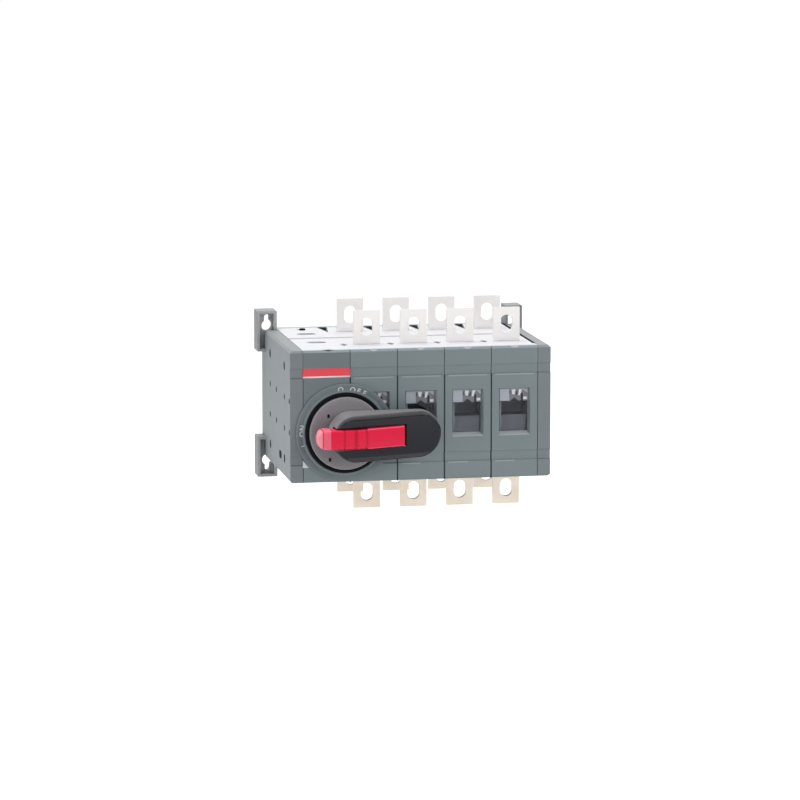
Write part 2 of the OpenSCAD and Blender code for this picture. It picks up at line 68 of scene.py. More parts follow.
def edges(name):  # the low corner, the high corner and the middle of a node's box
    low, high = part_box(name)
    return low, high, (low + high) / 2


frontY = edges("end_cover_left")[0].y
topZ = edges("end_cover_right")[1].z
turnAxis = Vector(frame["joints"][0]["pos_m"])
poleNumbers = [name.rsplit("_", 1)[1] for name in sorted(nodes) if name.startswith("pole_housing_front_")]
poles = [edges("pole_housing_front_" + number) for number in poleNumbers]
print("frame loaded:", len(nodes), "nodes,", len(poles), "poles")


# Helpers for colours and node trees
def tint(r, g, b):  # a colour as it shows on screen, 0 to 255
    def linear(c):
        c /= 255
        return c / 12.92 if c <= 0.04045 else ((c + 0.055) / 1.055) ** 2.4
    return (linear(r), linear(g), linear(b), 1)


def nodeGroup(name, kind, inputs, outputs):  # a group with named sockets, and the nodes at its two ends
    tree = bpy.data.node_groups.new(name, kind)
    for way, sockets in (("INPUT", inputs), ("OUTPUT", outputs)):
        for label, holds, *usual in sockets:
            made = tree.interface.new_socket(label, in_out=way, socket_type="NodeSocket" + holds)
            if usual:
                made.default_value = usual[0]
    return tree, tree.nodes.new("NodeGroupInput"), tree.nodes.new("NodeGroupOutput")


def feed(tree, socket, value):  # value is another node's socket or a plain number
    if hasattr(value, "links"):
        tree.links.new(value, socket)
    else:
        socket.default_value = value


def wire(tree, *pairs):
    for source, target in pairs:
        tree.links.new(source, target)


def mathNode(tree, operation, first, second):
    made = tree.nodes.new("ShaderNodeMath")
    made.operation = operation
    feed(tree, made.inputs[0], first)
    feed(tree, made.inputs[1], second)
    return made.outputs[0]


def noiseNode(tree, vector, scale, detail=2.0, roughness=0.5):
    made = tree.nodes.new("ShaderNodeTexNoise")
    for label, value in zip(("Vector", "Scale", "Detail", "Roughness"), (vector, scale, detail, roughness)):
        feed(tree, made.inputs[label], value)
    return made.outputs["Fac"]


def unevenSheen(tree, start, end, noise):  # the sheen, a little higher and lower with the noise
    given = start.outputs
    spread = mathNode(tree, "MULTIPLY", mathNode(tree, "SUBTRACT", noise, 0.5), given["SheenSpread"])
    wire(tree, (mathNode(tree, "ADD", given["Sheen"], spread), end.inputs["Roughness"]))


# Shader groups that the materials share
skinOutputs = [("Colour", "Color"), ("Roughness", "Float"), ("Height", "Float")]
grain = {"cloud": (45, 3), "patches": (160, 4, 0.6), "speckle": 0.35}  # noises as scale, detail, roughness
plating = {"stretch": (1, 1, 0.04), "lines": (2600, 2), "stains": (90, 5, 0.6), "wide": (28, 2), "gain": 4}


def makeMouldedGrain():
    # Spark-eroded mould texture: cloudy colour, uneven sheen and a fine leathery height
    tree, start, end = nodeGroup(
        "mouldedGrain", "ShaderNodeTree",
        [("Vector", "Vector"), ("Colour", "Color", (0.3, 0.3, 0.3, 1)), ("Clouding", "Float", 0.05),
         ("Sheen", "Float", 0.5), ("SheenSpread", "Float", 0.1), ("GrainScale", "Float", 1800.0)],
        skinOutputs)
    at = start.outputs
    cloud = noiseNode(tree, at["Vector"], *grain["cloud"])
    fine = noiseNode(tree, at["Vector"], at["GrainScale"])
    patches = noiseNode(tree, at["Vector"], *grain["patches"])
    speckle = mathNode(tree, "MULTIPLY", mathNode(tree, "SUBTRACT", fine, 0.5), grain["speckle"])
    lift = mathNode(tree, "ADD", mathNode(tree, "SUBTRACT", cloud, 0.5), speckle)
    gain = mathNode(tree, "ADD", mathNode(tree, "MULTIPLY", lift, at["Clouding"]), 1.0)
    scaled = tree.nodes.new("ShaderNodeVectorMath")
    scaled.operation = "SCALE"
    wire(tree, (at["Colour"], scaled.inputs[0]), (gain, scaled.inputs["Scale"]),
         (scaled.outputs[0], end.inputs["Colour"]), (fine, end.inputs["Height"]))
    unevenSheen(tree, start, end, patches)
    return tree


def makeMetalSkin():
    # Tin plating: soft stains, fine rolling lines along Z and a matt bloom
    tree, start, end = nodeGroup(
        "metalSkin", "ShaderNodeTree",
        [("Vector", "Vector"), ("Colour", "Color", (0.8, 0.8, 0.8, 1)),
         ("Stain", "Color", (0.7, 0.65, 0.55, 1)), ("StainAmount", "Float", 0.3),
         ("Sheen", "Float", 0.35), ("SheenSpread", "Float", 0.2)], skinOutputs)
    at = start.outputs
    drawn = tree.nodes.new("ShaderNodeMapping")
    drawn.inputs["Scale"].default_value = plating["stretch"]
    wire(tree, (at["Vector"], drawn.inputs["Vector"]))
    lines = noiseNode(tree, drawn.outputs[0], *plating["lines"])
    stains = noiseNode(tree, at["Vector"], *plating["stains"])
    patches = mathNode(tree, "MULTIPLY", stains, noiseNode(tree, at["Vector"], *plating["wide"]))
    masked = mathNode(tree, "MULTIPLY", patches,
                      mathNode(tree, "MULTIPLY", at["StainAmount"], plating["gain"]))
    blend = tree.nodes.new("ShaderNodeMix")
    blend.data_type = "RGBA"
    wire(tree, (masked, blend.inputs["Factor"]), (at["Colour"], blend.inputs[6]),
         (at["Stain"], blend.inputs[7]), (blend.outputs[2], end.inputs["Colour"]),
         (lines, end.inputs["Height"]))
    unevenSheen(tree, start, end, stains)
    return tree


mouldedGrain = makeMouldedGrain()
metalSkin = makeMetalSkin()
reliefDepth = 0.02 * mm


def material(name, group, inputs, bump=0.0, **shader):
    made = bpy.data.materials.new(name)
    made.use_nodes = True
    made.diffuse_color = inputs["Colour"]
    tree = made.node_tree
    principled = tree.nodes["Principled BSDF"]
    for socket, value in shader.items():
        principled.inputs[socket.replace("_", " ")].default_value = value
    where = tree.nodes.new("ShaderNodeTexCoord")
    skin = tree.nodes.new("ShaderNodeGroup")
    skin.node_tree = group
    for socket, value in inputs.items():
        skin.inputs[socket].default_value = value
    wire(tree, (where.outputs["Object"], skin.inputs["Vector"]),
         (skin.outputs["Colour"], principled.inputs["Base Color"]),
         (skin.outputs["Roughness"], principled.inputs["Roughness"]))
    if bump:
        relief = tree.nodes.new("ShaderNodeBump")
        relief.inputs["Strength"].default_value = bump
        relief.inputs["Distance"].default_value = reliefDepth
        wire(tree, (skin.outputs["Height"], relief.inputs["Height"]),
             (relief.outputs["Normal"], principled.inputs["Normal"]))
    return made


plastics = {  # colour, clouding, sheen, sheen spread, grain scale, bump
    "housingGrey": ((134, 146, 150), 0.1, 0.5, 0.1, 2400, 0.5),
    "endCoverGrey": ((132, 140, 144), 0.1, 0.52, 0.1, 2400, 0.5),
    "housingDim": ((121, 131, 136), 0.1, 0.5, 0.1, 2400, 0.5),
    "housingLit": ((160, 169, 172), 0.1, 0.5, 0.1, 2400, 0.4),
    "housingWall": ((192, 199, 203), 0.08, 0.5, 0.1, 2400, 0.3),
    "endCoverTop": ((134, 138, 140), 0.16, 0.5, 0.1, 2400, 0.5),
    "wellShade": ((84, 90, 95), 0.1, 0.55, 0.1, 2400, 0.3),
    "footGrey": ((140, 142, 145), 0.14, 0.52, 0.12, 2000, 0.6),
    "footRim": ((176, 177, 180), 0.14, 0.52, 0.12, 2000, 0.6),
    "footTray": ((192, 193, 196), 0.2, 0.55, 0.12, 2000, 0.6),
    "coverShade": ((146, 147, 152), 0.1, 0.5, 0.1, 2600, 0.3),
    "seamShade": ((100, 102, 107), 0.2, 0.55, 0.1, 2600, 0.3),
    "seamDark": ((36, 38, 42), 0.2, 0.6, 0.1, 2600, 0.3),
    "jointDark": ((22, 38, 42), 0.3, 0.6, 0.1, 2400, 0.3),
    "dialGrey": ((126, 138, 142), 0.1, 0.5, 0.1, 2400, 0.5),
    "paneFrost": ((91, 93, 96), 0.1, 0.45, 0.1, 2400, 0.2),
    "coverWhite": ((208, 208, 212), 0.05, 0.45, 0.1, 2600, 0.3),
    "rollerGrey": ((110, 112, 117), 0.08, 0.4, 0.1, 2000, 0.3),
    "labelPale": ((188, 193, 203), 0.05, 0.45, 0.08, 2600, 0.2),
    "labelMid": ((128, 131, 138), 0.1, 0.45, 0.08, 2600, 0.2),
    "chamberDark": ((112, 116, 126), 0.05, 0.6, 0.08, 2000, 0.3),
    "gapDark": ((18, 19, 22), 0.05, 0.75, 0.05, 2000, 0.2),
    "stripRed": ((255, 42, 68), 0.05, 0.15, 0.08, 2600, 0.15),
    "ringBlack": ((10, 14, 18), 0.1, 0.6, 0.1, 1600, 0.2),
    "hubGrey": ((150, 147, 152), 0.16, 0.3, 0.12, 2400, 0.4),
    "handleBlack": ((32, 33, 42), 0.14, 0.24, 0.1, 2000, 0.5),
    "handleBloom": ((30, 31, 36), 0.14, 0.42, 0.1, 2000, 0.5),
    "leverRed": ((254, 24, 74), 0.06, 0.24, 0.1, 2400, 0.3),
    "leverDeep": ((222, 14, 52), 0.06, 0.24, 0.1, 2400, 0.3),
    "leverRubbed": ((255, 150, 168), 0.1, 0.3, 0.1, 2400, 0.3),
    "leverPale": ((255, 104, 128), 0.1, 0.3, 0.1, 2400, 0.3),
    "printWhite": ((240, 242, 244), 0.05, 0.5, 0.1, 2600, 0.1),
    "printDark": ((40, 42, 47), 0.05, 0.5, 0.1, 2600, 0.1),
}
plainShine = 0.5
shine = {"ringBlack": 0.12, "gapDark": 0.1, "seamDark": 0.0, "seamShade": 0.2, "leverRed": 0.3,
         "leverDeep": 0.3, "stripRed": 1.0, "handleBlack": 0.3}  # what is duller or glossier than that
dusty = {"handleBloom": 0.68}  # a bloom that shows where the surface is seen edge on
metals = {  # colour, stain, amount of stain, sheen, sheen spread, bump
    "tinPlate": ((250, 247, 246), (238, 234, 230), 0.25, 0.34, 0.14, 0.3),
    "tinPlateWarm": ((230, 222, 212), (210, 196, 174), 0.45, 0.34, 0.16, 0.3),
    "brightSteel": ((190, 190, 192), (150, 148, 144), 0.25, 0.28, 0.2, 0.3),
    "zincSteel": ((128, 130, 134), (90, 90, 92), 0.4, 0.42, 0.25, 0.5),
}
smokedPane = {"Colour": tint(238, 241, 248), "Clouding": 0.05, "Sheen": 0.06, "SheenSpread": 0.04}
paneBend = 1.3  # the pane's index of refraction

finishes = {}
for name, (colour, *skin, bump) in plastics.items():
    inputs = dict(zip(("Colour", "Clouding", "Sheen", "SheenSpread", "GrainScale"), (tint(*colour), *skin)))
    finishes[name] = material(name, mouldedGrain, inputs, bump, Sheen_Weight=dusty.get(name, 0.0),
                              Specular_IOR_Level=shine.get(name, plainShine))
for name, (colour, stain, *skin, bump) in metals.items():
    inputs = dict(zip(("Colour", "Stain", "StainAmount", "Sheen", "SheenSpread"),
                      (tint(*colour), tint(*stain), *skin)))
    finishes[name] = material(name, metalSkin, inputs, bump, Metallic=1.0)
finishes["smokedPane"] = material("smokedPane", mouldedGrain, smokedPane, Transmission_Weight=1.0,
                                  IOR=paneBend)
print("materials made:", len(finishes))


# Helpers that make and place pieces
def addObject(name, data):
    made = bpy.data.objects.new(name, data)
    bpy.context.scene.collection.objects.link(made)
    return made


def place(name, mesh, looks, stands=(), body="switch_body"):
    made = addObject(name, mesh)
    if not mesh.materials:
        for look in looks:
            mesh.materials.append(finishes[look])
    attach(made, body)
    if stands:
        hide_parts(*stands)
    return made


def toMesh(bm, name, smooth=True):
    bm.normal_update()
    mesh = bpy.data.meshes.new(name)
    bm.to_mesh(mesh)
    bm.free()
    for face in mesh.polygons:
        face.use_smooth = smooth
    return mesh


def evaluatedMesh(source):  # what an object's modifiers or its text make, as a plain mesh
    bpy.context.view_layer.update()
    return bpy.data.meshes.new_from_object(source.evaluated_get(bpy.context.evaluated_depsgraph_get()))


def carve(piece, operation, tool):  # cuts a piece with another, which is then removed
    cut = piece.modifiers.new("cut", "BOOLEAN")
    cut.object = tool
    cut.operation = operation
    cut.solver = "EXACT"
    carved = evaluatedMesh(piece)
    piece.modifiers.clear()
    piece.data = carved
    bpy.data.objects.remove(tool)


def sharpened(mesh, degrees=35):  # smooth faces that stay crisp where they turn sharply
    mesh.shade_smooth()
    mesh.set_sharp_from_angle(angle=radians(degrees))
    return mesh


def flatPiece(name, bm, finish, body="switch_body"):  # plain flat faces, turned outwards
    bmesh.ops.recalc_face_normals(bm, faces=bm.faces)
    place(name, toMesh(bm, name, False), [finish], body=body)


def crispPiece(name, bm, degrees, looks, stands=(), body="switch_body"):  # smooth, with sharp edges
    bmesh.ops.recalc_face_normals(bm, faces=bm.faces)
    place(name, sharpened(toMesh(bm, name), degrees), looks, stands, body)


cleaning = {"merge": 0.0004 * mm, "flat": radians(0.4)}


def cleanCopy(name):  # a node's shape with its loose triangles merged and its flat faces joined
    source = nodes[name].data
    bm = bmesh.new()
    corners = [bm.verts.new(v.co) for v in source.vertices]
    for face in source.polygons:
        bm.faces.new([corners[i] for i in face.vertices])
    bmesh.ops.remove_doubles(bm, verts=bm.verts, dist=cleaning["merge"])
    bm.normal_update()
    bmesh.ops.dissolve_limit(bm, angle_limit=cleaning["flat"], verts=bm.verts, edges=bm.edges)
    bm.normal_update()
    return bm


def soften(piece, width, segments):  # rounds the edges that turn by more than 30 degrees
    bevel = piece.modifiers.new("softEdges", "BEVEL")
    bevel.width = width
    bevel.segments = segments
    bevel.limit_method = "ANGLE"
    bevel.angle_limit = radians(30)
    bevel.use_clamp_overlap = False
    even = piece.modifiers.new("evenShade", "WEIGHTED_NORMAL")
    even.keep_sharp = True
    even.weight = 60


def softPiece(name, looks, width, segments=2, pick=None, reshape=None):
    # A node's own shape with softened edges. pick gives a face its place in looks
    bm = cleanCopy(name)
    if reshape:
        reshape(bm)
    if pick:
        for face in bm.faces:
            face.material_index = pick(face)
    made = place(name + "_soft", toMesh(bm, name + "_soft"), looks, [name])
    soften(made, width, segments)


def box(bm, low, high):  # a block between two corners, added to a mesh
    made = bmesh.ops.create_cube(bm, size=1)["verts"]
    bmesh.ops.scale(bm, verts=made, vec=[high[i] - low[i] for i in range(3)])
    bmesh.ops.translate(bm, verts=made, vec=[(high[i] + low[i]) / 2 for i in range(3)])


def softBar(name, low, high, soft, finish):
    bm = bmesh.new()
    box(bm, low, high)
    bmesh.ops.bevel(bm, geom=bm.edges[:], offset=soft, segments=2, affect="EDGES")
    place(name, toMesh(bm, name), [finish])


def rectangle(left, right, near, far):
    return [(left, near), (right, near), (right, far), (left, far)]


def joinRings(bm, first, second):  # a band of faces between two rings with the same number of corners
    made = []
    for i in range(len(first)):
        j = (i + 1) % len(first)
        made.append(bm.faces.new((first[i], first[j], second[j], second[i])))
    return made


def prism(bm, outline, lift, thick, turn=None):  # a flat outline given a thickness along its third axis
    low = [bm.verts.new((x, y, lift)) for x, y in outline]
    high = [bm.verts.new((x, y, lift + thick)) for x, y in outline]
    bm.faces.new(high)
    bm.faces.new(low[::-1])
    joinRings(bm, low, high)
    if turn:
        bmesh.ops.transform(bm, matrix=turn, verts=low + high)


def turned(bm, outline, steps):  # an outline of radius and height turned about Z
    rings = []
    for radius, height in outline:
        if radius < hair:
            rings.append([bm.verts.new((0, 0, height))])
        else:
            rings.append([bm.verts.new((radius * cos(a), radius * sin(a), height))
                          for a in (2 * pi * k / steps for k in range(steps))])
    for below, above in zip(rings, rings[1:]):
        for k in range(steps):
            j = (k + 1) % steps
            corners = [below[k % len(below)], below[j % len(below)],
                       above[j % len(above)], above[k % len(above)]]
            corners = [v for i, v in enumerate(corners) if v not in corners[:i]]
            if len(corners) > 2:
                bm.faces.new(corners)


# Housings, feet, covers and terminals: a dark gap between neighbours, and a room behind each window darkened
# with painted shade
softness = {"housing": 0.12 * mm, "foot": 0.12 * mm, "cover": 0.2 * mm, "terminal": 0.3 * mm}
housing = {"gap": 0.2 * mm, "rimDepth": 2.5 * mm, "narrowRim": 2 * mm, "dimFrom": -20 * mm}
room = {"slack": 0.05 * mm, "reach": 2 * mm, "above": 12 * mm, "wall": 1 * mm}
foot = {"round": 0.5 * mm, "sharp": 0.5, "backPlate": 1 * mm, "lip": 1 * mm, "front": 0.1 * mm}
cover = {"wellDepth": 0.3 * mm, "wellArea": 80 * mm ** 2}
square, leaning = 0.9, 0.3  # how much of a face's normal lies along an axis


def narrowed(name):  # leaves a gap at both of a module's sides
    low, high, _ = edges(name)

    def reshape(bm):
        for v in bm.verts:
            if abs(v.co.x - low.x) < hair:
                v.co.x += housing["gap"]
            elif abs(v.co.x - high.x) < hair:
                v.co.x -= housing["gap"]
    return reshape


housingLooks = ["housingGrey", "chamberDark", "housingLit", "housingWall", "coverWhite", "housingDim"]


def topPicker(face):  # 2 on the rims round the covers, 4 on the narrow and palest ones: lighter copies as painted light from above
    at = face.calc_center_median()
    if abs(face.normal.z) < square or abs(at.z) < topZ - housing["rimDepth"]:
        return 0
    wide = max(v.co.x for v in face.verts) - min(v.co.x for v in face.verts)
    return 4 if wide < housing["narrowRim"] else 2


def mechanismPicker(face):  # 5 on the upper part of its front, a darker copy of the grey as painted shade
    onFront = face.normal.y < -square and face.calc_center_median().z > housing["dimFrom"]
    return 5 if onFront else topPicker(face)


def windowPicker(number):  # 1 in the room behind the pane, darkened as painted shade, 2 and 3 on the walls round the pane, lighter copies as painted highlights
    paneLow, paneHigh, _ = edges("window_pane_" + number)
    drumHigh = edges("contact_roller_" + number)[1]
    slack, reach, wall = room["slack"], room["reach"], room["wall"]

    def pick(face):
        at = face.calc_center_median()
        if not (paneLow.x - reach < at.x < paneHigh.x + reach and at.y < drumHigh.y + reach
                and paneLow.z - reach < at.z < paneHigh.z + room["above"]):
            return topPicker(face)
        if paneLow.x - slack < at.x < paneHigh.x + slack and paneHigh.y - slack < at.y:
            return 1
        if face.normal.x < -leaning and at.x > paneHigh.x - wall:
            return 2
        return 3 if face.normal.z > leaning and at.z < paneLow.z + wall else 0
    return pick


def roundedOutside(name):  # the strips beside a keyhole have no room for so wide a bevel
    low, high, _ = edges(name)

    def isOuter(face):
        at = face.calc_center_median()
        return min(abs(at.x - low.x), abs(at.x - high.x), abs(at.z - low.z), abs(at.z - high.z),
                   abs(at.y - low.y)) < hair

    def isRim(edge):
        return (len(edge.link_faces) == 2 and all(isOuter(face) for face in edge.link_faces)
                and edge.calc_face_angle(0) > foot["sharp"]
                and min(v.co.y for v in edge.verts) < high.y - foot["backPlate"])

    def reshape(bm):
        bmesh.ops.bevel(bm, geom=[edge for edge in bm.edges if isRim(edge)], offset=foot["round"], segments=3,
                        profile=0.5, affect="EDGES", clamp_overlap=True)
        for v in bm.verts:
            v.co.x = min(max(v.co.x, low.x + hair), high.x - hair)
        bm.normal_update()
    return reshape


def footPicker(name):  # 1 on a left-hand foot's front rim, 2 on the tray inside it: lighter copies of the grey as painted light
    low, high, _ = edges(name)
    lip = foot["lip"]

    def pick(face):
        at = face.calc_center_median()
        if at.y < low.y + foot["front"]:
            return 1 if low.x < 0 else 0
        inside = low.x + lip < at.x < high.x - lip and low.z + lip < at.z < high.z - lip
        return 2 if inside and at.y < high.y - lip else 0
    return pick


def coverPicker(face):  # 1 on the floors of the small wells, as painted shade
    sunk = abs(face.calc_center_median().z) < topZ - cover["wellDepth"]
    return 1 if sunk and abs(face.normal.z) > square and face.calc_area() < cover["wellArea"] else 0


def terminalPicker(face):  # the lower bars are warmer
    return 0 if face.calc_center_median().z > 0 else 1


for name in sorted(nodes):
    if name.startswith(("pole_housing", "mechanism")):
        picker = mechanismPicker if name == "mechanism_front" else topPicker
        if name.startswith("pole_housing_front"):
            picker = windowPicker(name.rsplit("_", 1)[1])
        softPiece(name, housingLooks, softness["housing"], pick=picker,
                  reshape=narrowed(name))
    elif name.startswith("foot"):
        softPiece(name, ["footGrey", "footRim", "footTray"], softness["foot"], 3,
                  pick=footPicker(name), reshape=roundedOutside(name))
    elif name.startswith(("top_covers", "bottom_covers")):
        softPiece(name, ["coverWhite", "coverShade"], softness["cover"], pick=coverPicker)
    elif name.startswith("terminals"):
        softPiece(name, ["tinPlate", "tinPlateWarm"], softness["terminal"],
                  pick=terminalPicker)
print("housings, feet, covers and terminals softened")


# End covers, whose wells hold screws and rivets
endCover = {"soft": 0.2 * mm, "topBand": 6 * mm, "topLean": 0.4, "wellFrom": 0.2 * mm, "wellTo": 6 * mm,
            "wellsBelow": 5 * mm, "wellArea": 60 * mm ** 2}
well = {"shallow": 1 * mm, "deep": 6 * mm, "screwRadius": 3 * mm, "widest": 4 * mm, "corners": 24,
        "facing": 0.99}
wellSpots = {}


def endCoverPicker(outerX):  # 1 on the top, a copy toned as painted light from above, 2 inside the wells, as painted shade
    def pick(face):
        at = face.calc_center_median()
        if face.normal.z > endCover["topLean"] and at.z > topZ - endCover["topBand"]:
            return 1
        sunk = endCover["wellFrom"] < abs(at.x - outerX) < endCover["wellTo"]
        small = abs(at.z) < topZ - endCover["wellsBelow"] and face.calc_area() < endCover["wellArea"]
        return 2 if sunk and small else 0
    return pick


def findWells(name, outerX):  # keeps the middle of each round well's floor, for screws where it is wide
    bm = cleanCopy(name)
    for face in bm.faces:
        at = face.calc_center_median()
        radius = sqrt(face.calc_area() / pi)
        sunk = abs(face.normal.x) > well["facing"] and well["shallow"] < abs(at.x - outerX) < well["deep"]
        if sunk and len(face.verts) > well["corners"] and radius < well["widest"]:
            wellSpots.setdefault((name, radius > well["screwRadius"]), []).append(at)
    bm.free()


for name in ("end_cover_left", "end_cover_right"):
    low, high, _ = edges(name)
    outerX = low.x if name.endswith("left") else high.x
    softPiece(name, ["endCoverGrey", "endCoverTop", "wellShade"], endCover["soft"],
              pick=endCoverPicker(outerX))
    findWells(name, outerX)


def makeStudScatter():
    # Sets a turned copy of a stud on each point, and makes the copies one mesh
    tree, start, end = nodeGroup(
        "studScatter", "GeometryNodeTree",
        [("Geometry", "Geometry"), ("Stud", "Object"), ("Lay", "Vector"), ("Turn spread", "Float"),
         ("Seed", "Int"), ("Skin", "Material")], [("Geometry", "Geometry")])
    given = start.outputs
    stud, chance, turn, spot, spin, solid, skin = [tree.nodes.new(kind) for kind in (
        "GeometryNodeObjectInfo", "FunctionNodeRandomValue", "ShaderNodeCombineXYZ",
        "GeometryNodeInstanceOnPoints", "GeometryNodeRotateInstances", "GeometryNodeRealizeInstances",
        "GeometryNodeSetMaterial")]
    wire(tree, (given["Stud"], stud.inputs["Object"]), (given["Turn spread"], chance.inputs[3]),
         (given["Seed"], chance.inputs["Seed"]), (chance.outputs[1], turn.inputs["Z"]),
         (given["Geometry"], spot.inputs["Points"]), (stud.outputs["Geometry"], spot.inputs["Instance"]),
         (given["Lay"], spot.inputs["Rotation"]), (spot.outputs[0], spin.inputs["Instances"]),
         (turn.outputs[0], spin.inputs["Rotation"]), (spin.outputs[0], solid.inputs["Geometry"]),
         (solid.outputs[0], skin.inputs["Geometry"]), (given["Skin"], skin.inputs["Material"]),
         (skin.outputs[0], end.inputs[0]))
    return tree


studScatter = makeStudScatter()


def scatter(name, spots, stud, lay, spread, seed, finish):
    host = addObject(name + "Host", bpy.data.meshes.new(name + "Spots"))
    host.data.from_pydata([tuple(at) for at in spots], [], [])
    grow = host.modifiers.new("grow", "NODES")
    grow.node_group = studScatter
    values = {"Stud": stud, "Lay": lay, "Turn spread": spread, "Seed": seed, "Skin": finishes[finish]}
    for socket in studScatter.interface.items_tree:
        if socket.in_out == "INPUT" and socket.name in values:
            grow[socket.identifier] = values[socket.name]
    grown = evaluatedMesh(host)
    grown.name = name
    bpy.data.objects.remove(host)
    place(name, sharpened(grown), [finish])


screw = {"radius": 2.9 * mm, "dome": 0.9 * mm, "slotWide": 0.7 * mm, "slotDeep": 0.8 * mm, "slotReach": 0.62,
         "lift": 1.6 * mm, "steps": 32, "seeds": {"left": 7, "right": 8}}
rivet = {"radius": 1.9 * mm, "dome": 0.7 * mm, "eye": 0.75 * mm, "lift": 0.6 * mm, "steps": 28}


def makeScrewHead():
    r, dome, lift = screw["radius"], screw["dome"], screw["lift"]
    bm = bmesh.new()
    arc = [(r * cos(a), lift + dome * sin(a)) for a in (radians(15 * k) for k in range(6))]
    turned(bm, [(0, 0), (r, 0)] + arc + [(0, lift + dome)], screw["steps"])
    head = addObject("screwHead", toMesh(bm, "screwHead"))
    cutter = bmesh.new()
    half, depth, reach = screw["slotWide"] / 2, lift + dome - screw["slotDeep"], r * screw["slotReach"]
    box(cutter, (-half, -reach, depth), (half, reach, 3 * r))
    box(cutter, (-reach, -half, depth), (reach, half, 3 * r))
    blade = addObject("screwBlade", toMesh(cutter, "screwBlade", False))
    carve(head, "DIFFERENCE", blade)
    return head


def makeRivetHead():  # up its side, over its dome and down into its eye
    r, eye, lift, dome = rivet["radius"], rivet["eye"], rivet["lift"], rivet["dome"]
    bm = bmesh.new()
    turned(bm, [(0, 0), (r, 0), (r, lift), (r * 0.85, lift + dome * 0.7), (eye * 1.5, lift + dome),
                (eye, lift + dome * 0.9), (eye * 0.8, lift * 0.6), (0, lift * 0.6)], rivet["steps"])
    return addObject("rivetHead", toMesh(bm, "rivetHead"))


screwHead, rivetHead = makeScrewHead(), makeRivetHead()
for (name, isScrew), spots in sorted(wellSpots.items(), key=lambda item: item[0]):
    side = name.rsplit("_", 1)[1]
    lay = (0, radians(-90 if side == "left" else 90), 0)  # the studs are made standing along Z
    scatter(("screws_" if isScrew else "rivets_") + side, spots, screwHead if isScrew else rivetHead, lay,
            tau if isScrew else 0.0, screw["seeds"][side], "zincSteel")
for head in (screwHead, rivetHead):
    bpy.data.objects.remove(head)
print("wells filled:", {key: len(spots) for key, spots in wellSpots.items()})


# Nodes that keep their shape and take a finish, and three that only have their edges softened
plain = {"window_pane": "smokedPane", "handle_shaft": "brightSteel", "lever_pin": "handleBlack"}
for name, node in nodes.items():
    for start, finish in plain.items():
        if name.startswith(start):
            node.data.materials.clear()
            node.data.materials.append(finishes[finish])

softPiece("coloured_strip", ["stripRed"], 0.1 * mm)
# the dial's grey is a little darker than the housing's, as painted shade round the hub
softPiece("dial_plate", ["dialGrey"], 0.4 * mm, 3)
softPiece("dial_ring", ["ringBlack"], 0.2 * mm)


# Windows: a drum with a step, what is printed on the pane's back, and a legend on each label
drum = {"steps": 72, "stepFrom": radians(52), "stepTo": radians(180), "stepDepth": 0.5 * mm,
        "rim": 0.4 * mm}


def makeDrum(number):
    low, high, mid = edges("contact_roller_" + number)
    radius, rim = (high.y - low.y) / 2, drum["rim"]
    bm = bmesh.new()
    rings = []
    for x, inset in ((low.x, rim), (low.x + rim, 0.0), (high.x - rim, 0.0), (high.x, rim)):
        ring = []
        for i in range(drum["steps"]):
            a = tau * i / drum["steps"]
            r = radius - inset
            if drum["stepFrom"] < a < drum["stepTo"]:
                r -= drum["stepDepth"]
            ring.append(bm.verts.new((x, mid.y - r * cos(a), mid.z + r * sin(a))))
        rings.append(ring)
    for first, second in zip(rings, rings[1:]):
        joinRings(bm, first, second)
    bm.faces.new(rings[0][::-1])
    bm.faces.new(rings[-1])
    crispPiece("contact_drum_" + number, bm, 35, ["rollerGrey"], ["contact_roller_" + number])


trim = {"bar": 1.3 * mm, "proud": 0.25 * mm, "clear": 0.02 * mm, "soft": 0.1 * mm, "near": 0.05 * mm,
        "far": 0.2 * mm, "band": 2.2 * mm, "bandDrop": 0.2 * mm, "edge": 1.6 * mm, "poleAt": 0.86}


def makePaneTrim(number):  # a bar at the pane's left edge, and a frosted part and a dark band of painted shadow behind it
    low, high, _ = edges("window_pane_" + number)
    softBar("pane_bar_" + number, (low.x, low.y - trim["proud"], low.z),
            (low.x + trim["bar"], low.y - trim["clear"], high.z), trim["soft"], "housingGrey")
    at = edges("contact_roller_" + number)[1].z - trim["bandDrop"]
    near, far = high.y + trim["near"], high.y + trim["far"]
    left, right = low.x + trim["bar"], high.x - trim["edge"]
    pole = left + (right - left) * trim["poleAt"]
    frost = [((left, near, low.z), (high.x, far, at))]
    band = [((left, near, at), (right, far, at + trim["band"])),
            ((pole, near, at + trim["band"]), (right, far, high.z))]
    for part, finish, blocks in (("frost", "paneFrost", frost), ("band", "gapDark", band)):
        bm = bmesh.new()
        for corners in blocks:
            box(bm, *corners)
        flatPiece("pane_" + part + "_" + number, bm, finish)


legend = {"thick": 0.08 * mm, "split": 0.34, "dot": 0.03}


